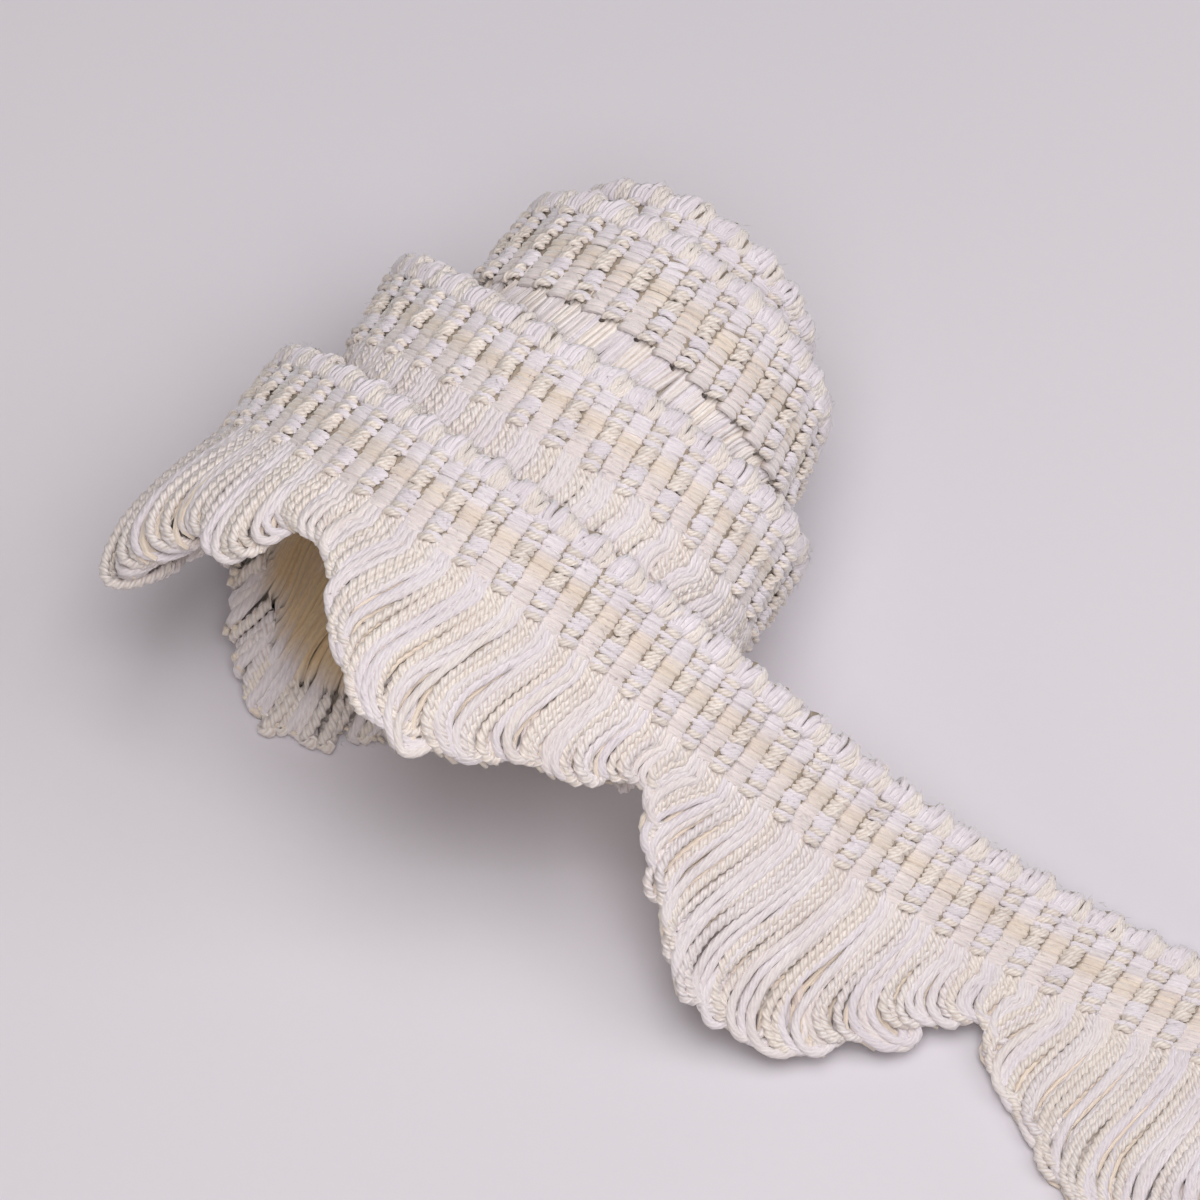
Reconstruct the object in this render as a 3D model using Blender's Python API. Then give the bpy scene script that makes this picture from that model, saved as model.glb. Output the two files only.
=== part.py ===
"""Fan edge trim: a woven, ribbed heading with a scalloped loop fringe along one
edge, wound into a loose, hollow roll whose turns step back like a telescope,
with one end running out over the table.

Two solids, in metres, Z up, table at z = 0:
  heading  the woven band with its bumped selvage, one sheet from end to end
  fringe   the comb of looped fans along the heading's other edge
Everything follows one path table: the row says how the band travels at that
length of trim, measured from the cut end of the loose tail.
"""
import math
import bpy
import numpy as np

# ---------------------------------------------------------------- named sizes
MM = 0.001
PITCH = 4.0              # one pair of ribs along the band
FAN_RIBS = 10            # rib pairs in one fan
TAIL_RIB = 34.0          # rib number at the cut end, counted down into the roll
LENGTH = 500.0           # length of trim built
STEP_INT = 0.5           # integration step along the path
RIB_LENGTH = 8.2         # ribbed part of the heading, across
BUMP_REACH = 2.7         # selvage bumps beyond the ribs
BUMP_NOTCH = 2.0         # selvage between two bumps
HEADING_THICK = 1.8
HEADING_EDGE_THICK = 1.2
FRINGE_THICK = 2.0
FRINGE_EDGE_THICK = 1.3
FRINGE_GAP = 0.4         # air between heading and fringe solids
START_HEIGHT = 0.7       # middle of the cloth above the table at the cut end
HEADING_STEP = 2.0       # one section a bump, one a notch
FRINGE_STEP = 2.5

# One row for every 20 mm of trim: direction of travel (degrees, 0 = towards
# -X along the table, +90 = straight up), setback of the fringe edge along the
# roll's axis, lean of the ribs out of the axis, and slant of the ribs.
PATH_COLUMNS = ("length", "travel", "setback", "lean", "slant")
PATH = (
    (0, -5.9, 0.00, -8.0, -3.6),
    (20, 2.4, -2.06, -6.3, -7.0),
    (40, 14.5, -4.44, -6.9, -7.9),
    (60, 29.4, -6.85, -11.1, -4.9),
    (80, 37.4, -8.63, -14.6, -0.8),
    (100, 33.5, -10.12, -13.3, 1.2),
    (120, -2.4, -9.83, -8.1, 1.6),
    (140, -42.5, -5.67, -1.3, 1.5),
    (160, -104.8, -1.19, 3.4, 1.5),
    (180, -162.8, 2.32, 3.3, 1.5),
    (200, -188.4, 6.19, 1.0, 1.1),
    (220, -238.7, 7.54, -0.8, -0.4),
    (240, -305.9, 5.94, -2.2, -0.8),
    (260, -351.9, 4.64, -4.0, 1.2),
    (280, -394.8, 7.26, -4.8, 3.4),
    (300, -461.4, 12.67, -2.8, 3.5),
    (320, -521.2, 16.29, 1.2, 2.4),
    (340, -564.5, 18.76, 5.8, 1.4),
    (360, -632.4, 20.61, 8.1, 1.2),
    (380, -697.8, 21.40, 6.4, 1.8),
    (400, -757.4, 22.49, 3.6, 2.3),
    (420, -836.7, 24.00, 2.6, 1.6),
    (440, -911.2, 24.89, 1.7, 0.7),
    (460, -996.8, 26.14, -1.1, 0.6),
    (480, -1088.6, 27.22, -3.9, 0.9),
    (500, -1179.7, 26.31, -4.6, 1.1),
)

# How the fringe hangs off the heading along the trim: its lean out of the
# axis at the root and at the tip (negative = towards the inside or down).
HANG_COLUMNS = ("length", "root_lean", "tip_lean")
HANG = (
    (0, 0.0, 0.0),
    (30, -3.0, -3.0),
    (60, -20.0, -26.0),
    (84, -18.0, -24.0),
    (105, -14.0, -22.0),
    (125, -6.0, -16.0),
    (145, 4.0, -2.0),
    (165, 8.0, 4.0),
    (185, 4.0, -2.0),
    (220, -2.0, -8.0),
    (245, -10.0, -16.0),
    (270, -16.0, -22.0),
    (300, -14.0, -18.0),
    (340, -2.0, -8.0),
    (380, -10.0, -14.0),
    (420, -8.0, -10.0),
    (460, -6.0, -8.0),
    (500, -6.0, -8.0),
)

# One fan, a row for each rib pair: loop length and how far its tip is swept
# back towards the roll.
FAN_COLUMNS = ("rib", "loop", "sweep")
FAN = (
    (3, 4.6, 0.3),
    (4, 7.5, 2.0),
    (5, 14.5, 4.0),
    (6, 18.6, 5.0),
    (7, 19.4, 5.0),
    (8, 19.2, 4.6),
    (9, 18.4, 4.0),
    (10, 16.0, 3.0),
    (11, 10.4, 1.6),
    (12, 5.0, 0.4),
)


# ------------------------------------------------------------------- helpers
def spline(xs, ys, x):
    """Natural cubic spline through a short table."""
    xs = np.asarray(xs, float)
    ys = np.asarray(ys, float)
    n = len(xs)
    h = np.diff(xs)
    a = np.zeros((n, n))
    r = np.zeros(n)
    a[0, 0] = a[-1, -1] = 1.0
    for i in range(1, n - 1):
        a[i, i - 1] = h[i - 1]
        a[i, i] = 2.0 * (h[i - 1] + h[i])
        a[i, i + 1] = h[i]
        r[i] = 6.0 * ((ys[i + 1] - ys[i]) / h[i] - (ys[i] - ys[i - 1]) / h[i - 1])
    m = np.linalg.solve(a, r)
    x = np.asarray(x, float)
    k = np.clip(np.searchsorted(xs, x, side="right") - 1, 0, n - 2)
    d0 = x - xs[k]
    d1 = xs[k + 1] - x
    return ((m[k] * d1 ** 3 + m[k + 1] * d0 ** 3) / (6.0 * h[k])
            + (ys[k] / h[k] - m[k] * h[k] / 6.0) * d1
            + (ys[k + 1] / h[k] - m[k + 1] * h[k] / 6.0) * d0)


def column(table, columns, name):
    i = columns.index(name)
    return [row[i] for row in table]


def at(grid, values, x):
    """Linear look-up of vectors on the integration grid."""
    x = np.asarray(x, float)
    return np.stack([np.interp(x, grid, values[:, k]) for k in range(3)], -1)


def band_path():
    """Fringe-edge points, across direction, outward normal and tangent."""
    grid = np.arange(0.0, LENGTH + STEP_INT / 2, STEP_INT)
    knots = column(PATH, PATH_COLUMNS, "length")
    travel = np.radians(spline(knots, column(PATH, PATH_COLUMNS, "travel"), grid))
    back = spline(knots, column(PATH, PATH_COLUMNS, "setback"), grid)
    lean = np.radians(spline(knots, column(PATH, PATH_COLUMNS, "lean"), grid))
    slant = np.radians(spline(knots, column(PATH, PATH_COLUMNS, "slant"), grid))
    slope = np.gradient(back, STEP_INT)
    run = np.sqrt(np.clip(1.0 - slope ** 2, 0.2, 1.0))
    dx = -np.cos(travel) * run
    dz = np.sin(travel) * run
    x = np.concatenate([[0.0], np.cumsum((dx[1:] + dx[:-1]) / 2) * STEP_INT])
    z = START_HEIGHT + np.concatenate([[0.0], np.cumsum((dz[1:] + dz[:-1]) / 2) * STEP_INT])
    base = np.stack([x, back, z], -1)
    tangent = np.stack([dx, slope, dz], -1)
    tangent /= np.linalg.norm(tangent, axis=1)[:, None]
    normal = np.stack([np.sin(travel), 0 * travel, np.cos(travel)], -1)
    across = np.cross(tangent, normal)
    across *= np.sign(across[:, 1])[:, None]
    across /= np.linalg.norm(across, axis=1)[:, None]
    rib = (across * (np.cos(lean) * np.cos(slant))[:, None]
           - normal * np.sin(lean)[:, None]
           + tangent * (np.sin(slant) * np.cos(lean))[:, None])
    rib /= np.linalg.norm(rib, axis=1)[:, None]
    return grid, base, rib, normal, tangent, across


def rib_number(length):
    return TAIL_RIB - np.asarray(length, float) / PITCH


def fan_value(name, length):
    """Value of a fan column at a length of trim, periodic over one fan."""
    ribs = column(FAN, FAN_COLUMNS, "rib")
    vals = column(FAN, FAN_COLUMNS, name)
    u = (rib_number(length) - ribs[0]) % FAN_RIBS + ribs[0]
    return np.interp(u, ribs + [ribs[0] + FAN_RIBS], vals + [vals[0]])


def sheet_mesh(name, mid, out, half):
    """Closed sheet solid from a grid of middle points, their outward
    directions and half thicknesses; every section is one closed outline."""
    rows, cols = half.shape
    top = mid + out * half[..., None]
    low = mid - out * half[..., None]
    ring = np.concatenate([top, low[:, ::-1]], axis=1)
    ring[..., 2] = np.maximum(ring[..., 2], 0.0)
    k = ring.shape[1]
    verts = ring.reshape(-1, 3) * MM
    faces = []
    for j in range(rows - 1):
        for i in range(k):
            i2 = (i + 1) % k
            a, b, c, d = j * k + i, j * k + i2, (j + 1) * k + i2, (j + 1) * k + i
            faces.append((a, b, c))
            faces.append((a, c, d))
    for j, flip in ((0, True), (rows - 1, False)):
        for i in range(cols - 1):
            a, b = j * k + i, j * k + i + 1
            c, d = j * k + k - 2 - i, j * k + k - 1 - i
            quad = (a, b, c, d)
            tris = ((quad[0], quad[1], quad[2]), (quad[0], quad[2], quad[3]))
            for t in tris:
                faces.append(t[::-1] if flip else t)
    mesh = bpy.data.meshes.new(name)
    mesh.from_pydata([tuple(v) for v in verts], [], faces)
    mesh.validate()
    mesh.update()
    vol = 0.0
    for f in faces:
        p, q, r = (verts[t] for t in f)
        vol += float(np.dot(p, np.cross(q, r)))
    if vol < 0:
        mesh.flip_normals()
    obj = bpy.data.objects.new(name, mesh)
    bpy.context.scene.collection.objects.link(obj)
    return obj


def local_out(mid):
    """Outward direction on a grid of middle points from its own surface."""
    du = np.gradient(mid, axis=0)
    dv = np.gradient(mid, axis=1)
    n = np.cross(du, dv)
    return n / np.linalg.norm(n, axis=-1)[..., None]


# ------------------------------------------------------------------- solids
def heading_grid():
    grid, base, rib, normal, tangent, across = band_path()
    ls = np.arange(0.0, LENGTH + 0.01, HEADING_STEP)
    b = at(grid, base, ls)
    r = at(grid, rib, ls)
    bump = np.where(np.arange(len(ls)) % 2 == 0, BUMP_NOTCH, BUMP_REACH)
    reach = np.stack([np.zeros(len(ls)), np.full(len(ls), RIB_LENGTH / 2),
                      np.full(len(ls), RIB_LENGTH), RIB_LENGTH + bump], -1)
    mid = b[:, None, :] + reach[..., None] * r[:, None, :]
    half = np.tile(np.array([HEADING_EDGE_THICK, HEADING_THICK, HEADING_THICK,
                             HEADING_EDGE_THICK]) / 2, (len(ls), 1))
    mid[..., 2] = np.maximum(mid[..., 2], half)
    return mid, half


def fringe_grid():
    grid, base, rib, normal, tangent, across = band_path()
    ls = np.arange(0.6, LENGTH - 0.5, FRINGE_STEP)
    b = at(grid, base, ls)
    n = at(grid, normal, ls)
    t = at(grid, tangent, ls)
    a = at(grid, across, ls)
    r = at(grid, rib, ls)
    hang_l = column(HANG, HANG_COLUMNS, "length")
    root = np.radians(np.interp(ls, hang_l, column(HANG, HANG_COLUMNS, "root_lean")))
    tip = np.radians(np.interp(ls, hang_l, column(HANG, HANG_COLUMNS, "tip_lean")))
    loop = fan_value("loop", ls)
    sweep = fan_value("sweep", ls)
    shares = np.array([0.0, 0.12, 0.35, 0.6, 0.82, 1.0])
    thick = np.array([FRINGE_EDGE_THICK, FRINGE_THICK, FRINGE_THICK, FRINGE_THICK,
                      FRINGE_THICK, FRINGE_EDGE_THICK]) / 2
    mid = np.zeros((len(ls), len(shares), 3))
    p = b - r * FRINGE_GAP
    mid[:, 0] = p
    for k in range(1, len(shares)):
        u = (shares[k] + shares[k - 1]) / 2
        ang = root + (tip - root) * u
        ds = (loop * (shares[k] - shares[k - 1]))[:, None]
        dirn = -a * np.cos(ang)[:, None] + n * np.sin(ang)[:, None]
        side = t * (sweep * (shares[k] ** 1.6 - shares[k - 1] ** 1.6))[:, None]
        p = p + dirn * ds * 0.95 + side
        mid[:, k] = p
    half = np.tile(thick, (len(ls), 1))
    mid[..., 2] = np.maximum(mid[..., 2], half)
    return mid, half


def centre_shift(grids):
    """Move the whole part so that its box stands centred on the origin."""
    lo = np.full(3, 1e9)
    hi = np.full(3, -1e9)
    for mid, out, half in grids:
        for s in (1, -1):
            v = (mid + s * out * half[..., None]).reshape(-1, 3)
            v[:, 2] = np.maximum(v[:, 2], 0.0)
            lo = np.minimum(lo, v.min(0))
            hi = np.maximum(hi, v.max(0))
    return np.array([(lo[0] + hi[0]) / 2, (lo[1] + hi[1]) / 2, 0.0])


def main():
    for o in list(bpy.data.objects):
        bpy.data.objects.remove(o, do_unlink=True)
    hm, hh = heading_grid()
    fm, fh = fringe_grid()
    ho, fo = local_out(hm), local_out(fm)
    shift = centre_shift(((hm, ho, hh), (fm, fo, fh)))
    sheet_mesh("heading", hm - shift, ho, hh)
    sheet_mesh("fringe", fm - shift, fo, fh)


main()
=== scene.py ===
"""Fan edge trim, yarn by yarn: ground cloth, ribs of stitches, bumped selvage
and looped fan fringe, all laid along the same path as the CAD solids."""
import math
import bpy
import numpy as np
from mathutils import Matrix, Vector


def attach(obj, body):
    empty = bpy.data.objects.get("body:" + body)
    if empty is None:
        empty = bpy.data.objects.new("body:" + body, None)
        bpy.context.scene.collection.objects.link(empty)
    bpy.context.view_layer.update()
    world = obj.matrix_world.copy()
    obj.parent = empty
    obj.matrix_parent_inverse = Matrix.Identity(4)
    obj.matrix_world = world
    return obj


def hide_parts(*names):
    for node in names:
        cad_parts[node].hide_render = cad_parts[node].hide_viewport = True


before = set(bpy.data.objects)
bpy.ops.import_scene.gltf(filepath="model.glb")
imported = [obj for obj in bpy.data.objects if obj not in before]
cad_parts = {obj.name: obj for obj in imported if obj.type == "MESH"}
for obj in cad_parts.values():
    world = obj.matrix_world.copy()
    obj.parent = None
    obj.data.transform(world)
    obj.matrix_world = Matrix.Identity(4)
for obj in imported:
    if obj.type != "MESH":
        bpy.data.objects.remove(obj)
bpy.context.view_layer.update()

SCENE = bpy.context.scene
MM = 0.001

# ------------------------------------------------------- the band's path (mm)
PITCH = 4.0
FAN_RIBS = 10
TAIL_RIB = 34.0
LENGTH = 500.0
STEP_INT = 0.5
RIB_LENGTH = 8.2
START_HEIGHT = 0.7
FRINGE_GAP = 0.4
SHIFT = np.array([-68.16205163, 4.73605868, 0.0])

PATH_COLUMNS = ("length", "travel", "setback", "lean", "slant")
PATH = (
    (0, -5.9, 0.00, -8.0, -3.6),
    (20, 2.4, -2.06, -6.3, -7.0),
    (40, 14.5, -4.44, -6.9, -7.9),
    (60, 29.4, -6.85, -11.1, -4.9),
    (80, 37.4, -8.63, -14.6, -0.8),
    (100, 33.5, -10.12, -13.3, 1.2),
    (120, -2.4, -9.83, -8.1, 1.6),
    (140, -42.5, -5.67, -1.3, 1.5),
    (160, -104.8, -1.19, 3.4, 1.5),
    (180, -162.8, 2.32, 3.3, 1.5),
    (200, -188.4, 6.19, 1.0, 1.1),
    (220, -238.7, 7.54, -0.8, -0.4),
    (240, -305.9, 5.94, -2.2, -0.8),
    (260, -351.9, 4.64, -4.0, 1.2),
    (280, -394.8, 7.26, -4.8, 3.4),
    (300, -461.4, 12.67, -2.8, 3.5),
    (320, -521.2, 16.29, 1.2, 2.4),
    (340, -564.5, 18.76, 5.8, 1.4),
    (360, -632.4, 20.61, 8.1, 1.2),
    (380, -697.8, 21.40, 6.4, 1.8),
    (400, -757.4, 22.49, 3.6, 2.3),
    (420, -836.7, 24.00, 2.6, 1.6),
    (440, -911.2, 24.89, 1.7, 0.7),
    (460, -996.8, 26.14, -1.1, 0.6),
    (480, -1088.6, 27.22, -3.9, 0.9),
    (500, -1179.7, 26.31, -4.6, 1.1),
)
HANG = (  # length, lean at the root, lean at the tip
    (0, 0.0, 0.0),
    (30, -3.0, -3.0),
    (60, -20.0, -26.0),
    (84, -18.0, -24.0),
    (105, -14.0, -22.0),
    (122, -6.0, -18.0),
    (134, 0.0, -22.0),
    (145, 7.0, -14.0),
    (160, 8.0, -12.0),
    (172, 8.0, -4.0),
    (185, 4.0, -2.0),
    (220, -2.0, -8.0),
    (245, -10.0, -16.0),
    (270, -16.0, -22.0),
    (300, -14.0, -18.0),
    (340, -2.0, -8.0),
    (380, -10.0, -14.0),
    (420, -8.0, -10.0),
    (460, -6.0, -8.0),
    (500, -6.0, -8.0),
)
# One fan, by rib number: how deep the loops hang, how far they swing back to
# the left on the way down, how far their foot runs on to the right, and how
# far the whole loop leans back.
FAN = (  # rib, depth, swing, foot, sweep
    (3, 4.8, 0.4, 1.4, 0.2),
    (4, 9.0, 2.2, 1.0, 0.9),
    (5, 12.6, 1.8, 1.8, 0.8),
    (6, 15.8, 2.0, 2.2, 1.0),
    (7, 18.0, 2.2, 2.4, 1.2),
    (8, 18.4, 1.9, 2.8, 1.2),
    (9, 17.2, 1.7, 3.2, 0.8),
    (10, 13.6, 0.9, 3.4, 0.4),
    (11, 8.8, 0.9, 3.2, 0.2),
    (12, 5.8, 0.6, 1.8, 0.2),
    (13, 4.8, 0.4, 1.4, 0.2),
)


# What each fan does of its own: (rib from the tail's first fan, depth, swing,
# foot) as factors on the table above, by rib number along the trim.
OWN = (
    (-18.0, 1.00, 1.0, 1.0),
    (-16.5, 1.00, -1.0, 1.2),
    (-14.5, 1.05, -2.3, 1.2),
    (-13.5, 1.00, -2.5, 1.2),
    (-12.6, 0.97, -2.4, 1.1),
    (-12.0, 1.10, -2.3, 1.2),
    (-10.5, 1.22, -1.9, 1.0),
    (-9.0, 1.60, -0.8, 0.6),
    (-8.0, 1.50, -0.3, 0.6),
    (-7.0, 0.90, 0.6, 1.0),
    (-5.0, 0.98, 0.8, 0.6),
    (-3.0, 1.00, 0.5, 0.5),
    (-2.0, 0.88, 0.5, 0.5),
    (-1.0, 0.74, 0.6, 0.5),
    (0.0, 0.74, 0.8, 0.3),
    (0.40, 0.98, 0.4, 0.4),
    (0.75, 1.18, 0.2, 0.6),
    (1.30, 1.12, 0.2, 0.6),
    (1.70, 0.84, 0.6, 0.6),
    (2.2, 1.00, 0.8, 0.8),
    (3.0, 1.12, 0.8, 1.0),
    (3.6, 0.94, 0.5, 1.0),
    (4.2, 0.86, 0.8, 1.0),
    (5.0, 1.00, 1.3, 1.0),
    (6.5, 0.95, 1.35, 1.0),
    (8.0, 0.84, 1.10, 0.9),
    (9.0, 0.75, 0.9, 0.7),
    (10.0, 0.75, 0.9, 0.6),
    (11.0, 1.00, 1.0, 0.9),
    (13.0, 1.00, 1.0, 1.0),
)
# How far the two legs of a loop stand apart, by length of trim.
LOFT = ((0, 0.0), (122, 0.0), (132, 0.6), (140, 1.4), (150, 2.2), (162, 2.3), (176, 2.0),
        (190, 1.2), (205, 0.6), (225, 0.4), (245, 0.0), (500, 0.0))


def spline(xs, ys, x):
    xs = np.asarray(xs, float)
    ys = np.asarray(ys, float)
    n = len(xs)
    h = np.diff(xs)
    a = np.zeros((n, n))
    r = np.zeros(n)
    a[0, 0] = a[-1, -1] = 1.0
    for i in range(1, n - 1):
        a[i, i - 1] = h[i - 1]
        a[i, i] = 2.0 * (h[i - 1] + h[i])
        a[i, i + 1] = h[i]
        r[i] = 6.0 * ((ys[i + 1] - ys[i]) / h[i] - (ys[i] - ys[i - 1]) / h[i - 1])
    m = np.linalg.solve(a, r)
    x = np.asarray(x, float)
    k = np.clip(np.searchsorted(xs, x, side="right") - 1, 0, n - 2)
    d0 = x - xs[k]
    d1 = xs[k + 1] - x
    return ((m[k] * d1 ** 3 + m[k + 1] * d0 ** 3) / (6.0 * h[k])
            + (ys[k] / h[k] - m[k] * h[k] / 6.0) * d1
            + (ys[k + 1] / h[k] - m[k + 1] * h[k] / 6.0) * d0)


def unit(v):
    return v / np.maximum(np.linalg.norm(v, axis=-1, keepdims=True), 1e-12)


def band_path():
    col = lambda name: [row[PATH_COLUMNS.index(name)] for row in PATH]
    grid = np.arange(0.0, LENGTH + STEP_INT / 2, STEP_INT)
    knots = col("length")
    travel = np.radians(spline(knots, col("travel"), grid))
    back = spline(knots, col("setback"), grid)
    lean = np.radians(spline(knots, col("lean"), grid))
    slant = np.radians(spline(knots, col("slant"), grid))
    slope = np.gradient(back, STEP_INT)
    run = np.sqrt(np.clip(1.0 - slope ** 2, 0.2, 1.0))
    dx = -np.cos(travel) * run
    dz = np.sin(travel) * run
    x = np.concatenate([[0.0], np.cumsum((dx[1:] + dx[:-1]) / 2) * STEP_INT])
    z = START_HEIGHT + np.concatenate([[0.0], np.cumsum((dz[1:] + dz[:-1]) / 2) * STEP_INT])
    base = np.stack([x, back, z], -1)
    tangent = unit(np.stack([dx, slope, dz], -1))
    normal = np.stack([np.sin(travel), 0 * travel, np.cos(travel)], -1)
    across = np.cross(tangent, normal)
    across *= np.sign(across[:, 1])[:, None]
    across = unit(across)
    rib = unit(across * (np.cos(lean) * np.cos(slant))[:, None]
               - normal * np.sin(lean)[:, None]
               + tangent * (np.sin(slant) * np.cos(lean))[:, None])
    return grid, base, rib, normal, tangent, across


GRID, BASE, RIB, NORMAL, TANGENT, ACROSS = band_path()
OUT = unit(np.cross(RIB, TANGENT))
OUT *= np.sign((OUT * NORMAL).sum(-1))[:, None]


def look(values, l):
    l = np.asarray(l, float)
    return np.stack([np.interp(l, GRID, values[:, k]) for k in range(3)], -1)


def base_at(l):
    l = np.asarray(l, float)
    inside = np.clip(l, 0.0, LENGTH)
    return look(BASE, inside) + look(TANGENT, inside) * (l - inside)[..., None]


LONGER = ((0, 0.0), (338, 0.0), (356, 2.2), (420, 2.2), (440, 0.0), (500, 0.0))


def on_band(l, v, w, floor=0.9, front=True):
    """Point of the heading: l along, v across from the fringe edge, w outward."""
    v = np.asarray(v, float)
    grow = np.interp(l, [r[0] for r in LONGER], [r[1] for r in LONGER]) * front
    v = v - grow * np.clip(1.0 - v / RIB_LENGTH, 0.0, None)
    w = np.asarray(w, float) + 0.10 * np.clip(grow, 0, 1) * np.clip(0.5 - v, 0.0, 1.0)
    mid = base_at(l) + look(RIB, l) * v[..., None]
    mid[..., 2] = np.maximum(mid[..., 2], floor)
    return mid + look(OUT, l) * w[..., None]


HANG_L = [r[0] for r in HANG]
HANG_ROOT = [r[1] for r in HANG]
HANG_TIP = [r[2] for r in HANG]


def fan_at(k, u):
    u = (np.asarray(u, float) - 3.0) % FAN_RIBS + 3.0
    return np.interp(u, [r[0] for r in FAN], [r[k] for r in FAN])


def on_fringe(l, d, n, depth, floor=0.95):
    """Point of the fringe: d away from the heading, n outward."""
    l = np.asarray(l, float)
    root = np.radians(np.interp(l, HANG_L, HANG_ROOT))
    tip = np.radians(np.interp(l, HANG_L, HANG_TIP))
    k = (tip - root) / depth
    k = np.where(np.abs(k) < 1e-6, 1e-6, k)
    dd = np.clip(d, 0.0, None)
    ang = root + k * dd
    c = (np.sin(ang) - np.sin(root)) / k + np.minimum(d, 0.0)
    s = -(np.cos(ang) - np.cos(root)) / k
    a, nn = look(ACROSS, l), look(NORMAL, l)
    mid = base_at(l) - a * c[..., None] + nn * s[..., None]
    mid[..., 2] = np.maximum(mid[..., 2], floor)
    side = nn * np.cos(ang)[..., None] + a * np.sin(ang)[..., None]
    return mid + side * np.asarray(n)[..., None]


# --------------------------------------------------------------- mesh making
def dense_rows(ctrl, sub=10):
    """Catmull-Rom through each row's points, with the length run so far."""
    m, k, _ = ctrl.shape
    p = np.concatenate([2 * ctrl[:, :1] - ctrl[:, 1:2], ctrl,
                        2 * ctrl[:, -1:] - ctrl[:, -2:-1]], axis=1)
    t = np.linspace(0, 1, sub, endpoint=False)
    t1, t2, t3 = t, t ** 2, t ** 3
    w = np.stack([-0.5 * t3 + t2 - 0.5 * t1, 1.5 * t3 - 2.5 * t2 + 1,
                  -1.5 * t3 + 2 * t2 + 0.5 * t1, 0.5 * t3 - 0.5 * t2], 0)
    dense = sum(p[:, i:i + k - 1, None, :] * w[i][None, None, :, None] for i in range(4))
    dense = dense.reshape(m, -1, 3)
    dense = np.concatenate([dense, ctrl[:, -1:]], axis=1)
    step = np.linalg.norm(np.diff(dense, axis=1), axis=-1)
    s = np.concatenate([np.zeros((m, 1)), np.cumsum(step, axis=1)], axis=1)
    return dense, s


def smooth_rows(ctrl, count):
    """The same, resampled to an even number of steps."""
    dense, s = dense_rows(ctrl)
    m = len(dense)
    out = np.zeros((m, count, 3))
    for i in range(m):
        want = np.linspace(0, s[i, -1], count)
        for c in range(3):
            out[i, :, c] = np.interp(want, s[i], dense[i, :, c])
    return out


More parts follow.
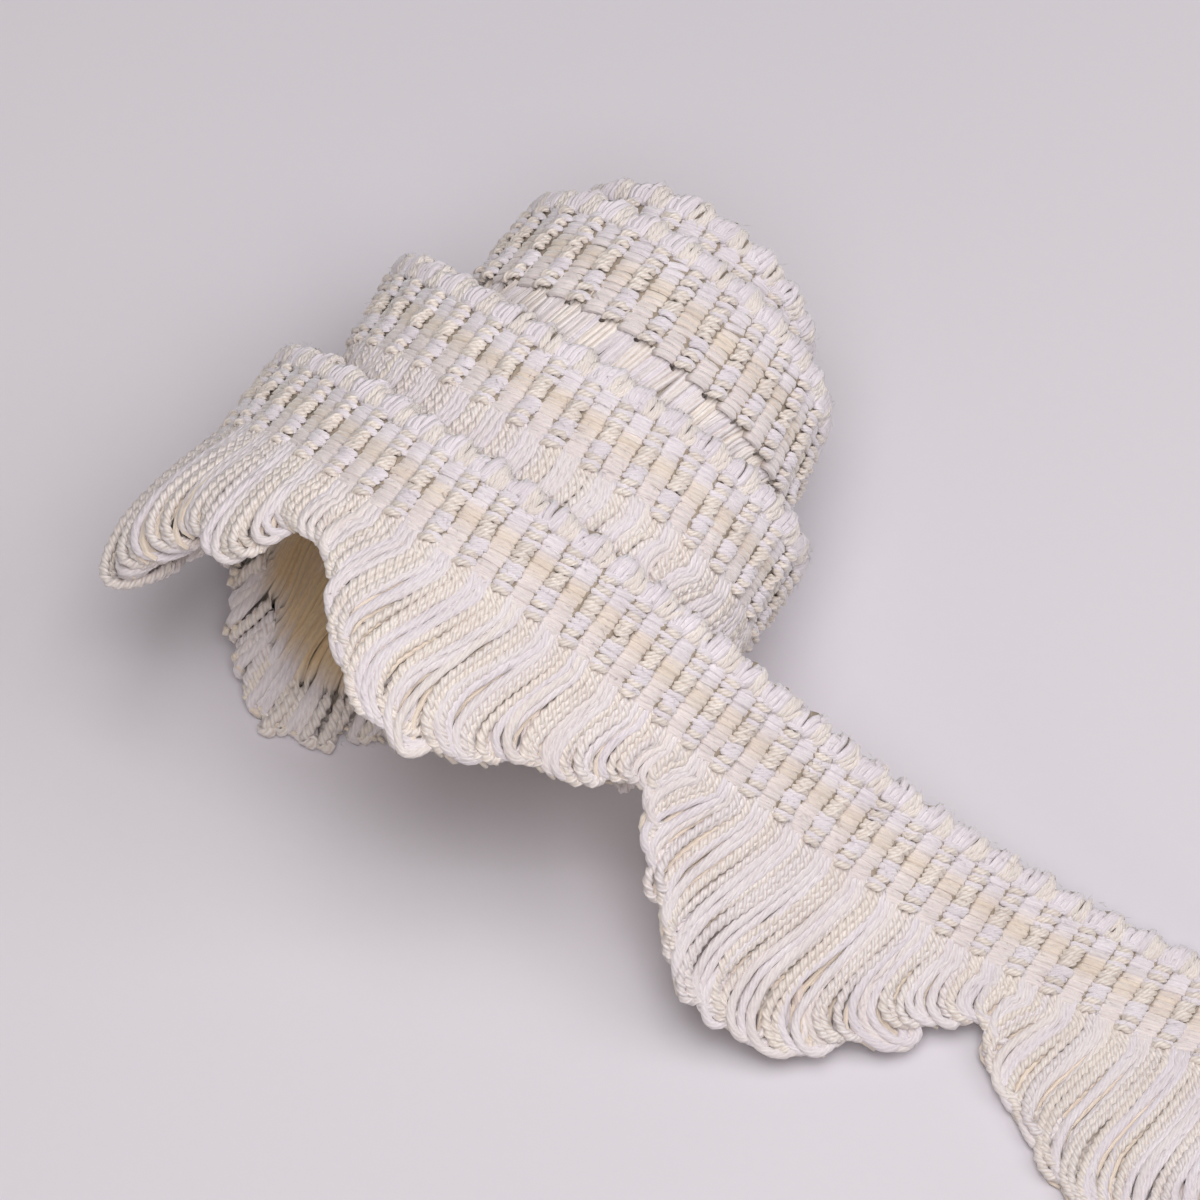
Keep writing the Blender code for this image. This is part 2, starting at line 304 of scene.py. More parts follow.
class Yarns:
    """Collects tubes and turns them into one mesh."""

    def __init__(self):
        self.verts, self.quads, self.caps, self.tint, self.uv = [], [], [], [], []
        self.count = 0

    def add(self, pts, radius, sides, tint, up, lobes=0, depth=0.0, turn=0.0,
            phase=0.0, squash=1.0, table=True):
        """pts (M,K,3) mm; radius scalar or (M,K); tint (M,3) or (M,K,3);
        up (M,3) or (3,); turn in turns per mm."""
        m, k, _ = pts.shape
        radius = np.broadcast_to(np.asarray(radius, float), (m, k)) if np.ndim(radius) else np.full((m, k), float(radius))
        depth = np.broadcast_to(np.asarray(depth, float), (m, k)) if np.ndim(depth) else np.full((m, k), float(depth))
        if table:
            pts = pts.copy()
            pts[..., 2] = np.maximum(pts[..., 2], radius * (1.02 + (depth if lobes else 0.0)))
        tan = unit(np.gradient(pts, axis=1))
        up = np.broadcast_to(np.asarray(up, float), (m, 3)).copy()
        us = np.zeros((m, k, 3))
        for i in range(k):
            up = unit(up - (up * tan[:, i]).sum(-1, keepdims=True) * tan[:, i])
            us[:, i] = up
        vs = np.cross(tan, us)
        step = np.linalg.norm(np.diff(pts, axis=1), axis=-1)
        s = np.concatenate([np.zeros((m, 1)), np.cumsum(step, axis=1)], axis=1)
        phase = np.broadcast_to(np.asarray(phase, float), (m,))
        turn = np.broadcast_to(np.asarray(turn, float), (m, k)) if np.ndim(turn) else np.full((m, k), float(turn))
        run = (turn[:, 1:] + turn[:, :-1]) / 2 * step
        spin = 2 * np.pi * np.concatenate([np.zeros((m, 1)), np.cumsum(run, axis=1)], axis=1) + phase[:, None]
        j = 2 * np.pi * np.arange(sides) / sides
        ang = j[None, None, :] + spin[..., None]
        shape = 1.0 + (depth[..., None] * np.cos(lobes * j) if lobes else 0 * ang)
        r = radius[..., None] * shape
        ring = (pts[:, :, None, :] + us[:, :, None, :] * (np.cos(ang) * r * squash)[..., None]
                + vs[:, :, None, :] * (np.sin(ang) * r)[..., None])
        tint = np.asarray(tint, float)
        if tint.ndim == 2:
            tint = tint[:, None, :]
        tint = np.broadcast_to(tint[:, :, None, :], (m, k, sides, 3))
        idx = (np.arange(m * k * sides) + self.count).reshape(m, k, sides)
        nxt = np.roll(idx, -1, axis=2)
        a, b, c, d = idx[:, :-1], nxt[:, :-1], nxt[:, 1:], idx[:, 1:]
        quads = np.stack([a, b, c, d], -1).reshape(-1, 4)
        u0 = np.arange(sides) / sides
        uv = np.zeros((m, k - 1, sides, 4, 2))
        uv[..., 0, 0] = uv[..., 3, 0] = u0
        uv[..., 1, 0] = uv[..., 2, 0] = u0 + 1.0 / sides
        off = (phase * 7.3)[:, None, None]
        uv[..., 0, 1] = uv[..., 1, 1] = s[:, :-1, None] + off
        uv[..., 2, 1] = uv[..., 3, 1] = s[:, 1:, None] + off
        self.verts.append(ring.reshape(-1, 3))
        self.quads.append(quads)
        self.uv.append(uv.reshape(-1, 2))
        self.caps.append((idx[:, 0, ::-1], idx[:, -1]))
        self.tint.append(tint.reshape(-1, 3))
        self.count += m * k * sides

    def build(self, name, material):
        verts = (np.concatenate(self.verts) - SHIFT) * MM
        quads = np.concatenate(self.quads)
        tint = np.concatenate(self.tint)
        loops = [quads.reshape(-1)]
        starts = [np.arange(len(quads)) * 4]
        totals = [np.full(len(quads), 4)]
        at = len(quads) * 4
        uvs = [np.concatenate(self.uv)]
        for pair in self.caps:
            for cap in pair:
                n, s = cap.shape
                loops.append(cap.reshape(-1))
                starts.append(at + np.arange(n) * s)
                totals.append(np.full(n, s))
                uvs.append(np.zeros((n * s, 2)))
                at += n * s
        loops, starts, totals = (np.concatenate(x).astype(np.int32) for x in (loops, starts, totals))
        me = bpy.data.meshes.new(name)
        me.vertices.add(len(verts))
        me.vertices.foreach_set("co", verts.astype(np.float32).ravel())
        me.loops.add(len(loops))
        me.loops.foreach_set("vertex_index", loops)
        me.polygons.add(len(starts))
        me.polygons.foreach_set("loop_start", starts)
        me.polygons.foreach_set("loop_total", totals)
        me.update(calc_edges=True)
        me.polygons.foreach_set("use_smooth", np.ones(len(starts), bool))
        uv = me.uv_layers.new(name="yarn")
        uv.uv.foreach_set("vector", np.concatenate(uvs).astype(np.float32).ravel())
        col = me.color_attributes.new("tint", "FLOAT_COLOR", "POINT")
        rgba = np.concatenate([tint, np.ones((len(tint), 1))], 1)
        col.data.foreach_set("color", rgba.astype(np.float32).ravel())
        me.update()
        ob = bpy.data.objects.new(name, me)
        SCENE.collection.objects.link(ob)
        me.materials.append(material)
        tris = int((totals - 2).sum())
        print(f"{name}: {tris} triangles")
        return ob


# ----------------------------------------------------------------- materials
def srgb(r, g, b):
    c = np.array([r, g, b], float) / 255.0
    return np.where(c <= 0.04045, c / 12.92, ((c + 0.055) / 1.055) ** 2.4)


SHINY = srgb(244, 236, 230)
MATTE = srgb(239, 233, 239)
BEIGE = srgb(237, 223, 207)
PINK = srgb(240, 231, 229)
# Next colour is a painted warm glow for the inside and underside of the roll, standing in for light bounced through
# the cream yarn. It goes on the back stitches and on the inner and back legs of the loops.
INNER_PAINTED_GLOW = srgb(250, 224, 176)
# Next colour is partly the ground cloth's own tan and partly painted shade, darkened to the tone of the pits between
# stitches.
GROUND_AND_PIT_SHADE = srgb(172, 158, 144)


def mix(a, b, t):
    return a * (1 - t) + b * t


def yarn_material(name, rough, spec, sheen, plies, painted_groove_shade, fibre, dark, bump):
    """Yarn: colour from the yarn's own tint, fine plies and fibres along it, with painted shade in the grooves
    between plies.
    """
    m = bpy.data.materials.new(name)
    m.use_nodes = True
    nt = m.node_tree
    nt.nodes.clear()
    new = nt.nodes.new
    link = nt.links.new
    out = new("ShaderNodeOutputMaterial")
    sh = new("ShaderNodeBsdfPrincipled")
    link(sh.outputs[0], out.inputs[0])
    tint = new("ShaderNodeAttribute")
    tint.attribute_name = "tint"
    uv = new("ShaderNodeUVMap")
    uv.uv_map = "yarn"

    def maths(kind, a, b=None):
        n = new("ShaderNodeMath")
        n.operation = kind
        for socket, value in zip(n.inputs, (a, b)):
            if value is None:
                continue
            if isinstance(value, float):
                socket.default_value = value
            else:
                link(value, socket)
        return n.outputs[0]

    def ramp(value, lo, c0, hi, c1):
        n = new("ShaderNodeValToRGB")
        n.color_ramp.elements[0].position = lo
        n.color_ramp.elements[0].color = (*c0, 1)
        n.color_ramp.elements[1].position = hi
        n.color_ramp.elements[1].color = (*c1, 1)
        link(value, n.inputs[0])
        return n.outputs[0]

    def times(a, b):
        n = new("ShaderNodeMixRGB")
        n.blend_type = "MULTIPLY"
        n.inputs[0].default_value = 1.0
        link(a, n.inputs[1])
        link(b, n.inputs[2])
        return n.outputs[0]

    # fibres: noise drawn out along the yarn
    shape = new("ShaderNodeMapping")
    shape.inputs["Scale"].default_value = (fibre, 1.5, 1.0)
    link(uv.outputs[0], shape.inputs[0])
    fine = new("ShaderNodeTexNoise")
    fine.inputs["Scale"].default_value = 1.0
    fine.inputs["Detail"].default_value = 3.0
    link(shape.outputs[0], fine.inputs["Vector"])
    # plies: ridges that run with the twist
    split = new("ShaderNodeSeparateXYZ")
    link(uv.outputs[0], split.inputs[0])
    phase = maths("MULTIPLY", split.outputs[0], 2 * math.pi * plies)
    stray = maths("MULTIPLY", fine.outputs["Fac"], 2.6)
    ridge = maths("SINE", maths("ADD", phase, stray))
    ridge = maths("MULTIPLY", maths("ADD", ridge, 1.0), 0.5)
    colour = times(tint.outputs["Color"], ramp(fine.outputs["Fac"], 0.36, dark, 0.58, (1, 1, 1)))
    # Painted shade in the grooves between the plies.
    colour = times(colour, ramp(ridge, 0.0, painted_groove_shade, 0.45, (1, 1, 1)))
    # slow drift of colour over the cloth
    where = new("ShaderNodeTexCoord")
    slow = new("ShaderNodeTexNoise")
    slow.inputs["Scale"].default_value = 260.0
    slow.inputs["Detail"].default_value = 2.0
    link(where.outputs["Object"], slow.inputs["Vector"])
    colour = times(colour, ramp(slow.outputs["Fac"], 0.35, (0.95, 0.935, 0.94), 0.65, (1, 1, 1)))
    link(colour, sh.inputs["Base Color"])
    sh.inputs["Roughness"].default_value = rough
    sh.inputs["Specular IOR Level"].default_value = spec
    sh.inputs["Sheen Weight"].default_value = sheen
    sh.inputs["Sheen Roughness"].default_value = 0.6
    b = new("ShaderNodeBump")
    b.inputs["Strength"].default_value = bump
    b.inputs["Distance"].default_value = 0.00010
    link(maths("ADD", maths("MULTIPLY", ridge, 0.7), fine.outputs["Fac"]), b.inputs["Height"])
    link(b.outputs[0], sh.inputs["Normal"])
    return m


# The fifth argument of each is the painted shade for the ply grooves.
SHINY_MAT = yarn_material("yarn_shiny", 0.38, 0.60, 0.45, 4, (0.84, 0.79, 0.75), 9.0, (0.93, 0.91, 0.89), 0.7)
MATTE_MAT = yarn_material("yarn_matte", 0.85, 0.2, 0.7, 6, (0.93, 0.91, 0.92), 14.0, (0.89, 0.87, 0.89), 0.6)
SOFT_MAT = yarn_material("yarn_soft", 0.90, 0.15, 0.9, 6, (0.94, 0.93, 0.94), 14.0, (0.90, 0.88, 0.90), 0.5)
BACK_MAT = yarn_material("yarn_back", 0.85, 0.2, 0.5, 4, (0.88, 0.84, 0.78), 8.0, (0.90, 0.88, 0.84), 0.5)


def cloth_material():
    """Ground cloth under the stitches: fine weave, warm and matte, its colour part the cloth's own tan and part
    painted shade for the pits between stitches and the gaps between the edge bumps.
    """
    m = bpy.data.materials.new("ground_cloth")
    m.use_nodes = True
    nt = m.node_tree
    sh = nt.nodes["Principled BSDF"]
    where = nt.nodes.new("ShaderNodeTexCoord")
    fine = nt.nodes.new("ShaderNodeTexNoise")
    fine.inputs["Scale"].default_value = 2200.0
    fine.inputs["Detail"].default_value = 2.0
    nt.links.new(where.outputs["Object"], fine.inputs["Vector"])
    ramp = nt.nodes.new("ShaderNodeValToRGB")
    g = GROUND_AND_PIT_SHADE
    ramp.color_ramp.elements[0].color = (*(g * 0.78), 1)
    ramp.color_ramp.elements[1].color = (*g, 1)
    ramp.color_ramp.elements[0].position = 0.3
    ramp.color_ramp.elements[1].position = 0.7
    nt.links.new(fine.outputs["Fac"], ramp.inputs[0])
    nt.links.new(ramp.outputs[0], sh.inputs["Base Color"])
    sh.inputs["Roughness"].default_value = 0.9
    sh.inputs["Specular IOR Level"].default_value = 0.2
    b = nt.nodes.new("ShaderNodeBump")
    b.inputs["Strength"].default_value = 0.6
    b.inputs["Distance"].default_value = 0.0002
    nt.links.new(fine.outputs["Fac"], b.inputs["Height"])
    nt.links.new(b.outputs[0], sh.inputs["Normal"])
    return m


# -------------------------------------------------------------- ground cloth
def ground_cloth():
    ls = np.arange(0.0, LENGTH + 0.01, 1.0)
    vs = np.array([-0.2, 1.5, 3.5, 5.5, 7.5, 9.2, 10.1])
    half = np.array([0.22, 0.32, 0.32, 0.32, 0.32, 0.3, 0.2])
    grid_l, grid_v = np.meshgrid(ls, vs, indexing="ij")
    wave = 0.05 * np.sin(2 * np.pi * grid_l / PITCH + 0.6)
    edge = np.zeros_like(grid_v)
    edge[:, -1] = 0.45 * np.cos(2 * np.pi * (grid_l[:, -1] + 1.0) / PITCH)
    edge[:, 0] = 0.6 * np.interp(grid_l[:, 0], [338, 356, 420, 440], [0, 1, 1, 0])
    up = on_band(grid_l, grid_v + edge, wave + half)
    low = on_band(grid_l, grid_v + edge, wave - half)
    ring = np.concatenate([up, low[:, ::-1]], axis=1)
    ring[..., 2] = np.maximum(ring[..., 2], 0.02)
    n, k, _ = ring.shape
    verts = (ring.reshape(-1, 3) - SHIFT) * MM
    idx = np.arange(n * k).reshape(n, k)
    nxt = np.roll(idx, -1, axis=1)
    faces = np.stack([idx[:-1], nxt[:-1], nxt[1:], idx[1:]], -1).reshape(-1, 4).tolist()
    faces.append(idx[0, ::-1].tolist())
    faces.append(idx[-1].tolist())
    me = bpy.data.meshes.new("heading_ground")
    me.from_pydata([tuple(p) for p in verts], [], faces)
    me.update()
    me.validate()
    for p in me.polygons:
        p.use_smooth = True
    me.materials.append(cloth_material())
    ob = bpy.data.objects.new("heading_ground", me)
    SCENE.collection.objects.link(ob)
    return ob


# ---------------------------------------------------------- stitches on ribs
ROWS = {"a": 15, "b": 13}
RIBS = np.arange(0.0, LENGTH + 0.01, PITCH)     # middle of each shiny rib
SHINY_ROWS = {13, 11, 9, 8, 7, 6, 2, 0}
# Detail goes where the cloth faces up and out; the underside and the inside
# of the roll are made of the same stitches with fewer rings.
FACING = unit(np.array([0.24, -0.41, 0.88]))


def in_sight(l):
    return look(OUT, l) @ FACING > -0.25


def stitch_rows(side, kind, rows, ribs, k, rng):
    """Centre lines of the stitches of some rows: (M,K,3), row, rib."""
    count = ROWS[kind]
    mid_l, row = np.meshgrid(ribs, np.array(rows), indexing="ij")
    mid_l, row = mid_l.ravel(), row.ravel()
    m = len(mid_l)
    shiny = np.isin(row, list(SHINY_ROWS)) & (kind == "a")
    if kind == "a":
        width = np.where(shiny, 1.50, 1.90)[:, None]
        rise = np.where(shiny, 0.50, 0.34)[:, None]
        top = np.where(shiny, 0.94, 0.74)[:, None]
        shift = np.where(shiny, -0.08, 0.0)[:, None]
    else:
        width, rise, top, shift = 2.26, 0.34, 0.34, 0.0
    t = np.linspace(-1, 1, k)[None, :]
    jit = lambda s: (rng.standard_normal(m) * s)[:, None]
    lift = np.sqrt(np.clip(1 - np.abs(t) ** 2.4, 0, 1))
    x = shift + t * width / 2 * (1 + jit(0.05)) + jit(0.07)      # to the right
    v = ((row + 0.5) * RIB_LENGTH / count)[:, None] + (rise / 2) * t * side * (1 + jit(0.3)) + jit(0.05)
    deep = -0.16 if side > 0 else 0.42
    w = side * (deep + (top + jit(0.05) - deep) * lift)
    l = mid_l[:, None] - x
    return on_band(l, v, w, front=side > 0), row, mid_l


def band_tint(row, mid_l, rng):
    """Soft beige stripe up the middle of the matte ribs."""
    v = (row + 0.5 + rng.standard_normal(len(row)) * 0.25)
    share = np.exp(-((v - 7.0) / 2.0) ** 2)[:, None]
    low = np.where((row >= 9)[:, None], MATTE, PINK)
    return mix(low, BEIGE, share * rng.uniform(0.7, 1.0, (len(row), 1)))


def stitches(side, kind, rows, name, mat, seed):
    rng = np.random.default_rng(seed)
    y = Yarns()
    ribs = RIBS if kind == "a" else RIBS[:-1] + 2.0
    seen = in_sight(ribs)
    shiny = kind == "a" and rows[0] in SHINY_ROWS
    for fine in ((True, False) if side > 0 else (False,)):
        part = ribs[seen == fine] if side > 0 else ribs
        if side < 0:
            k, n = 4, 4
        elif shiny:
            k, n = (10, 8) if fine else (6, 6)
        else:
            k, n = ((8, 6) if kind == "a" else (7, 5)) if fine else (5, 4)
        pts, row, mid_l = stitch_rows(side, kind, rows, part, k, rng)
        m = len(row)
        up = look(OUT, mid_l) * side
        bright = 1 + rng.standard_normal((m, 1)) * 0.025
        turn = rng.uniform(0, np.pi, m)
        # Stitch ends darken towards where they dive into the cloth: painted shade in the pits.
        end = np.abs(np.linspace(-1, 1, k)) ** (5 if shiny else 10)
        painted_pit_shade = 1 - end[None, :, None] * (1 - np.array([0.66, 0.58, 0.52]))
        if side < 0:
            # Back stitches take the painted warm glow in full.
            tint = mix(INNER_PAINTED_GLOW, np.ones(3), 0.0) * bright
        elif shiny:
            tint = SHINY * bright
        elif kind == "a":
            tint = MATTE * bright
        else:
            tint = band_tint(row, mid_l, rng) * bright
        if side < 0:
            y.add(pts, 0.32 if kind == "a" else 0.60, n, tint, up, squash=1.0 if kind == "a" else 0.7)
        elif shiny:
            y.add(pts, 0.345 if fine else 0.36, n, tint[:, None, :] * painted_pit_shade, up, lobes=2, depth=0.22 if fine else 0.0,
                  turn=-0.50 if fine else 0.0, phase=turn)
        elif kind == "a":
            y.add(pts, 0.36, n, tint, up, lobes=2 if fine else 0, depth=0.10, turn=-0.35 if fine else 0.0, phase=turn)
        else:
            y.add(pts, 0.47, n, tint[:, None, :] * painted_pit_shade, up, phase=turn, squash=0.80)
    return y.build(name, mat)


# ------------------------------------------------------------ bumped selvage
def selvage():
    rng = np.random.default_rng(23)
    y = Yarns()
    per = 7
    starts = RIBS - 1.0
    mid_l, c = np.meshgrid(starts, np.arange(per), indexing="ij")
    mid_l, c = mid_l.ravel(), c.ravel()
    m = len(mid_l)
    jit = lambda s: rng.standard_normal(m) * s
    x = PITCH * ((c + 0.5) / per - 0.5) + jit(0.07)
    lean = 0.15 + 0.55 * c / (per - 1) + jit(0.24)
    shiny = c >= 4
    arch = np.cos(x / 2.0 * np.pi / 2) ** 0.7
    top = 9.55 + 1.00 * arch + jit(0.14)
    out = 0.10 * arch
    rows = [(-0.2, 7.85, 0.22), (0.1, 8.4, 0.50), (0.45, 9.4, 0.58), (0.85, -1, 0.30),
            (1.05, -1, -0.30), (1.0, 9.4, -0.56), (0.8, 8.4, -0.48), (0.6, 7.85, -0.22)]
    ctrl = []
    for dx, v, w in rows:
        vv = np.full(m, v) if v > 0 else top - 0.36
        ll = mid_l - (x * (0.82 if v < 8 else 1.0) + lean * dx)
        ctrl.append(on_band(ll + jit(0.06), vv, w + np.sign(w) * out + jit(0.07)))
    pts = smooth_rows(np.stack(ctrl, 1), 13)
    up = look(OUT, mid_l)
    tint = np.where(shiny[:, None], SHINY, MATTE) * (1 + jit(0.02))[:, None]
    turn = rng.uniform(0, np.pi, m)
    y.add(pts[shiny], 0.39, 6, tint[shiny], up[shiny], lobes=2, depth=0.18, turn=-0.30, phase=turn[shiny])
    y.add(pts[~shiny], 0.44, 5, tint[~shiny], up[~shiny])
    return y.build("selvage_loops", MATTE_MAT)


# -------------------------------------------------------------- fan fringe
def cord_lines(shiny, lo, hi):
    """Centre lines of the loops whose roots lie between lo and hi."""
    seed = 5 + 2 * int(lo) + (1 if shiny else 0)
    rng = np.random.default_rng(seed)
    ribs = RIBS[(RIBS >= lo) & (RIBS < hi)]
    xs = np.array([-0.67, 0.0, 0.67]) if shiny else np.array([1.33, 2.0, 2.67])
    rib_l, x0 = np.meshgrid(ribs, xs, indexing="ij")
    n_rib = len(ribs)
    root_l = (rib_l - x0).ravel()
    m = len(root_l)
    phase = TAIL_RIB - root_l / PITCH
    group = np.repeat(rng.standard_normal((n_rib, 4)), len(xs), axis=0)
    own = rng.standard_normal((m, 6))
    mine = lambda k: np.interp(phase, [r[0] for r in OWN], [r[k] for r in OWN], left=1.0, right=1.0)
    depth = fan_at(1, phase) * mine(1) * (1 + 0.020 * group[:, 0] + 0.02 * own[:, 0])
    swing = fan_at(2, phase) * mine(2) * (1 + 0.08 * group[:, 1] + 0.10 * own[:, 1])
    foot = fan_at(3, phase) * mine(3) * (1 + 0.10 * group[:, 2] + 0.12 * own[:, 2])
    loft = np.interp(root_l, [r[0] for r in LOFT], [r[1] for r in LOFT])
    loft = loft * np.clip(depth / 12.0, 0.2, 1.0) * (1 + 0.18 * group[:, 3] + 0.1 * own[:, 0])
    sweep = fan_at(4, phase)
    under = 0.28 * np.interp(root_l, [338, 356, 420, 440], [0, 1, 1, 0])
    jx = 0.36 * own[:, 3]
    jn = 0.20 * own[:, 4]
    cad_depth = np.maximum(depth, 4.0)
    plan = [  # right, down, outward
        (0.0 * foot, -0.8 + 0 * depth, 0.15),
        (0.02 * foot, 0.6 + 0 * depth, 0.42),
        (0.15 + 0 * foot, np.minimum(1.8, 0.3 * depth), 0.50),
        (-0.45 * swing, 0.36 * depth, 0.52),
        (-swing, 0.66 * depth, 0.50),
        (-0.85 * swing + 0.1 * foot, 0.88 * depth, 0.46),
        (-0.35 * swing + 0.4 * foot, 0.985 * depth, 0.36),
        (0.25 * -swing + 0.85 * foot, 0.99 * depth, 0.08),
        (1.05 * foot, 0.92 * depth, -0.25),
        (0.95 * foot + 0.1, 0.80 * depth, -0.45),
        (0.4 * foot - 0.5 * swing, 0.58 * depth, -0.50),
        (0.2 * foot - 0.3 * swing, 0.30 * depth, -0.48),
        (0.3 + 0 * foot, np.minimum(1.2, 0.2 * depth), -0.42),
        (0.5 + 0 * foot, -0.8 + 0 * depth, -0.15),
    ]
    ctrl = []
    for right, down, outward in plan:
        share = np.clip(down / depth, 0, 1)
        right = right - sweep * share ** 1.6 + jx * share
        wob = 0.20 * np.sin(own[:, 5] * 5 + down * 0.5) * share
        puff = loft * np.sin(np.pi * np.clip(share, 0, 1) ** 1.5 * 0.72) * np.clip(outward / 0.45, -1, 1)
        ctrl.append(on_fringe(root_l - right - wob, down, outward + jn * share + puff - under, cad_depth))
    dense, s = dense_rows(np.stack(ctrl, 1))
    on = (root_l > 1.5) & (root_l < LENGTH - 0.5)
    return dense[on], s[on], 9 * 10, root_l[on], own[on]


def inner_loops(lo, hi, name):
    """The plain cords between the front and the back of the fans, seen only
    through the gaps: one leg each, from the heading to near the foot."""
    y = Yarns()
    for shiny in (True, False):
        dense, s, split, root_l, own = cord_lines(shiny, lo, hi)
        keep = (np.arange(len(root_l)) % 3 != 1) | (root_l < 215)
        pick = np.linspace(8, split - 22, 10).astype(int)
        pts = dense[keep][:, pick]
        roots = root_l[keep]
        share = np.linspace(0, 1, len(pick))[None, :, None]
        pts = pts - look(NORMAL, roots)[:, None, :] * (0.35 + 0.35 * share)
        pts = pts - look(TANGENT, roots)[:, None, :] * 0.34
        size = 0.42 - 0.16 * np.linspace(0, 1, len(pick))[None, :] ** 3 + 0 * pts[..., 0]
        size = size * (1 + 0.35 * np.interp(roots, [132, 142, 172, 182], [0, 1, 1, 0])[:, None])
        # Inner cords get a share of the painted warm glow.
        y.add(pts, size, 4, mix(SHINY, INNER_PAINTED_GLOW, 0.3) * (1 + 0.02 * own[keep, :1]), look(NORMAL, roots))
    return y.build(name, SOFT_MAT)


def fringe_cords(shiny, lo, hi, fine, coarse, sides, name, mat):
    """Loops whose roots lie between lo and hi along the band, with a ring
    every fine mm down the front and round the foot, coarse mm up the back."""
    dense, s, split, root_l, own = cord_lines(shiny, lo, hi)
    m = len(root_l)
    n1 = np.ceil(s[:, split] / fine / 6).astype(int) * 6
    n2 = np.ceil((s[:, -1] - s[:, split]) / coarse / 3).astype(int) * 3
    y = Yarns()
    up = look(NORMAL, root_l)
    base = SHINY if shiny else MATTE
    tint = base * (1 + 0.02 * own[:, :1])
    # Painted warm glow, strongest in the roll's hollow, is mixed into the loops' back legs below.
    inside = np.interp(root_l, [130, 150, 205, 225], [0.35, 0.9, 0.9, 0.35])[:, None]
    warm = mix(base, INNER_PAINTED_GLOW, inside) * (1 + 0.02 * own[:, :1])
    blend = np.clip(np.abs(own[:, 4:5]) * 0.42, 0, 0.85)
    tint = mix(tint, MATTE if shiny else SHINY, blend)
    turn = np.random.default_rng(int(lo) + 3).uniform(0, np.pi, m)
    twisted = shiny and sides >= 8
    for a, b in sorted(set(zip(n1.tolist(), n2.tolist()))):
        rows = np.where((n1 == a) & (n2 == b))[0]
        pts = np.zeros((len(rows), a + b + 1, 3))
        for q, i in enumerate(rows):
            want = np.concatenate([np.linspace(0, s[i, split], a + 1),
                                   np.linspace(s[i, split], s[i, -1], b + 1)[1:]])
            for c in range(3):
                pts[q, :, c] = np.interp(want, s[i], dense[i, :, c])
        front = (np.arange(a + b + 1) <= a).astype(float)[None, :].repeat(len(rows), 0)
        along = np.concatenate([np.linspace(0, 1, a + 1), np.linspace(1, 0, b + 1)[1:]])
        full = (0.43 if sides >= 6 else 0.45) + 0.055 * along ** 0.6
        full = full[None, :] * (1 + 0.04 * own[rows, 2:3])
        full = full * (1 + 0.20 * np.interp(root_l[rows], [138, 160, 205, 220], [0, 1, 1, 0])[:, None])
        rear = np.clip((np.arange(a + b + 1) - a) / 3.0, 0, 1)[None, :, None]
        shade = tint[rows][:, None, :] * (1 - rear) + warm[rows][:, None, :] * rear
        if twisted:
            y.add(pts, full, sides, shade, up[rows], lobes=2, depth=0.20 * front,
                  turn=-0.50 * front, phase=turn[rows])
        elif sides >= 6:
            y.add(pts, full, sides, shade, up[rows], lobes=2, depth=0.09 * front,
                  turn=-0.16 * front, phase=turn[rows])
        else:
            y.add(pts, full, sides, shade, up[rows], phase=turn[rows])
    return y.build(name, mat)


# --------------------------------------------------------------- loose fibres
def heading_fuzz(count, seed):
    """Short fine hairs standing off the stitches and the bumped edge."""
    rng = np.random.default_rng(seed)
    near = int(count * 0.85)
    l = np.concatenate([rng.uniform(1, 300, near), rng.uniform(300, 499, count - near)])
    v = np.where(rng.random(count) < 0.35, rng.uniform(9.0, 10.5, count), rng.uniform(0.1, 9.0, count))
    rib = np.abs((l + 1.0) % PITCH - 1.0) < 0.9
    w = np.where(v > 9.0, 0.85, np.where(rib, 1.15, 0.58))
    size = rng.uniform(0.3, 0.95, count)
    head = rng.uniform(0, 2 * np.pi, count)
    high = rng.uniform(0.0, 0.42, count)
    root = on_band(l, v, w - 0.05)
    tip = on_band(l + size * np.cos(head), v + size * np.sin(head) * 0.8, w + high)
    return np.stack([root, tip], 1), look(OUT, l)


def fringe_fuzz(count, seed, lo, hi):
    """Hairs along the loops, some lying on the cords and some standing off."""
    rng = np.random.default_rng(seed)
    out = []
    for shiny, share in ((True, 0.45), (False, 0.55)):
        dense, s, split, root_l, own = cord_lines(shiny, lo, hi)
        n = int(count * share)
        length = s[:, split]
        pick = rng.choice(len(dense), n, p=length / length.sum())
        i = rng.integers(12, split + 6, n)
        size = rng.uniform(0.3, 1.1, n)
        gap = np.maximum(length[pick] / split, 0.02)
        far = np.clip(i + (size / gap).astype(int), 0, dense.shape[1] - 1)
        a, c = dense[pick, i], dense[pick, far]
        run = unit(c - a + 1e-6)
        side = unit(rng.standard_normal((n, 3)) + 0.6 * look(NORMAL, root_l[pick]))
        side = unit(side - run * (side * run).sum(-1, keepdims=True))
        off = rng.uniform(0.0, 0.45, (n, 1))
        out.append(np.stack([a + side * 0.40, c + side * (0.46 + off) + rng.standard_normal((n, 3)) * 0.1], 1))
    pts = np.concatenate(out)
    return pts, np.tile(np.array([0.3, 0.2, 0.9]), (len(pts), 1))


def fuzz(name, pts, up, seed, radius=0.028):
    rng = np.random.default_rng(seed)
    m = len(pts)
    y = Yarns()
    size = radius * rng.uniform(0.7, 1.25, (m, 1)) * np.array([[1.0, 0.3]])
    tint = np.where(rng.random((m, 1)) < 0.5, SHINY, MATTE)
    y.add(pts, size, 3, tint, up)
    return y.build(name, MATTE_MAT)


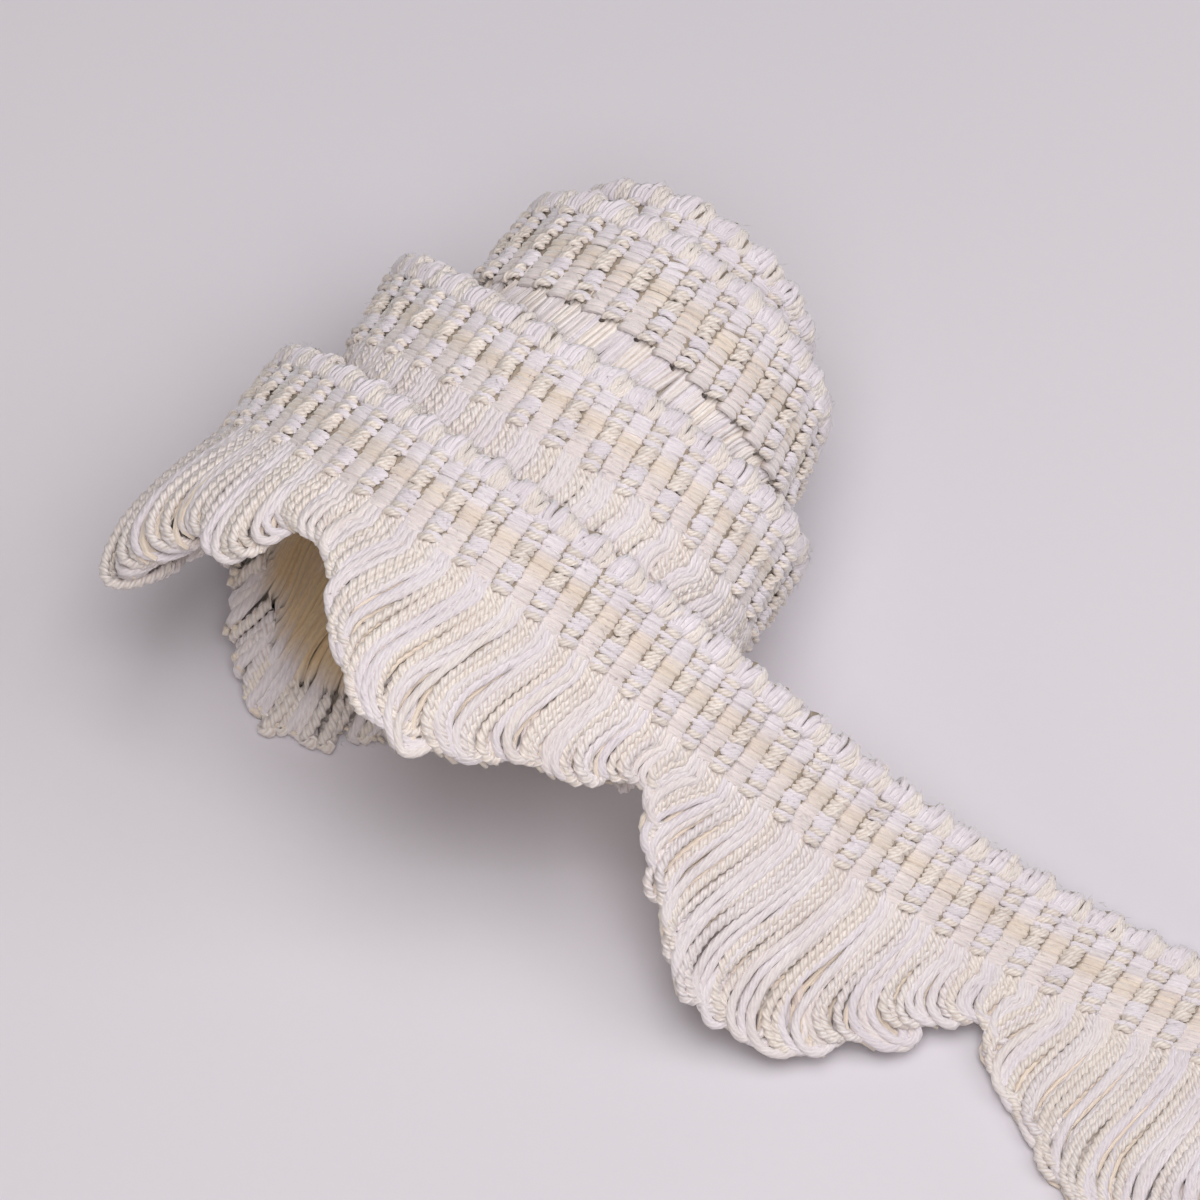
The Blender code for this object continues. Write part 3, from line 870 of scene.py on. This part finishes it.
ground = ground_cloth()
pieces = [
    stitches(1, "a", sorted(SHINY_ROWS), "heading_shiny_stitches", SHINY_MAT, 11),
    stitches(1, "a", [r for r in range(15) if r not in SHINY_ROWS], "heading_soft_stitches", SOFT_MAT, 12),
    stitches(1, "b", list(range(13)), "heading_matte_ribs", SOFT_MAT, 13),
    stitches(-1, "a", list(range(0, 15)), "heading_back_fine", BACK_MAT, 14),
    stitches(-1, "b", list(range(0, 13, 2)), "heading_back_matte", BACK_MAT, 15),
    selvage(),
    fuzz("heading_fibres", *heading_fuzz(3600, 31), 32),
]
fans = [
    fringe_cords(True, 0, 140, 0.38, 1.2, 8, "fringe_shiny_tail", SHINY_MAT),
    fringe_cords(False, 0, 140, 0.70, 1.2, 6, "fringe_matte_tail", MATTE_MAT),
    fringe_cords(True, 140, 290, 0.38, 1.4, 8, "fringe_shiny_turn", SHINY_MAT),
    fringe_cords(False, 140, 290, 0.80, 1.4, 6, "fringe_matte_turn", MATTE_MAT),
    fringe_cords(True, 290, 501, 1.0, 1.6, 5, "fringe_shiny_core", SHINY_MAT),
    fringe_cords(False, 290, 501, 1.0, 1.6, 5, "fringe_matte_core", MATTE_MAT),
    inner_loops(0, 250, "fringe_inner"),
    fuzz("fringe_fibres", *fringe_fuzz(4000, 41, 0, 290), 42),
]

for p in [ground] + pieces:
    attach(p, "root")
    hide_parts("heading")
for p in fans:
    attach(p, "root")
    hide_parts("fringe")


# ------------------------------------------------------------ floor and light
def floor():
    me = bpy.data.meshes.new("floor")
    s = 2.0
    me.from_pydata([(-s, -s, 0), (s, -s, 0), (s, s, 0), (-s, s, 0)], [], [(0, 1, 2, 3)])
    ob = bpy.data.objects.new("floor", me)
    SCENE.collection.objects.link(ob)
    m = bpy.data.materials.new("floor_paper")
    m.use_nodes = True
    nt = m.node_tree
    sh = nt.nodes["Principled BSDF"]
    where = nt.nodes.new("ShaderNodeTexCoord")
    fine = nt.nodes.new("ShaderNodeTexNoise")
    fine.inputs["Scale"].default_value = 900.0
    nt.links.new(where.outputs["Object"], fine.inputs["Vector"])
    ramp = nt.nodes.new("ShaderNodeValToRGB")
    c = srgb(223, 219, 227)
    ramp.color_ramp.elements[0].color = (*(c * 0.985), 1)
    ramp.color_ramp.elements[1].color = (*c, 1)
    nt.links.new(fine.outputs["Fac"], ramp.inputs[0])
    nt.links.new(ramp.outputs[0], sh.inputs["Base Color"])
    sh.inputs["Roughness"].default_value = 0.75
    sh.inputs["Specular IOR Level"].default_value = 0.2
    me.materials.append(m)
    return ob


ground_plane = floor()


def area_light(name, at, size, power, colour, target=(0, 0, 0.015)):
    data = bpy.data.lights.new(name, "AREA")
    data.shape = "RECTANGLE"
    data.size, data.size_y = size
    data.energy = power
    data.color = colour
    ob = bpy.data.objects.new(name, data)
    ob.location = at
    ob.rotation_euler = (Vector(target) - Vector(at)).to_track_quat("-Z", "Y").to_euler()
    SCENE.collection.objects.link(ob)
    return ob


area_light("over", (0.0, 0.0, 0.60), (0.34, 0.34), 1.22, (1.0, 0.98, 0.97))
area_light("front", (0.1152, -0.1874, 0.56), (0.34, 0.34), 1.42, (1.0, 0.99, 0.985))
area_light("right", (0.3400, 0.1400, 0.45), (0.34, 0.34), 0.80, (1.0, 0.985, 0.975))
area_light("card", (0.108, -0.462, 0.16), (0.30, 0.20), 0.24, (1.0, 0.88, 0.72))

world = bpy.data.worlds.new("studio")
SCENE.world = world
world.use_nodes = True
world.node_tree.nodes["Background"].inputs[0].default_value = (1.0, 0.92, 0.84, 1)
world.node_tree.nodes["Background"].inputs[1].default_value = 0.10

# ------------------------------------------------------------------- camera
cam_data = bpy.data.cameras.new("camera")
cam_data.lens = 212.34
cam_data.sensor_width = 36.0
cam_data.clip_start = 0.05
cam = bpy.data.objects.new("camera", cam_data)
TARGET = Vector((-0.03106, 0.00659, -0.00092))
EYE = Vector((0.14098, -0.27341, 0.61714))
cam.location = EYE
cam.rotation_euler = (TARGET - EYE).to_track_quat("-Z", "Y").to_euler()
SCENE.collection.objects.link(cam)
SCENE.camera = cam
SCENE.view_settings.view_transform = "Standard"
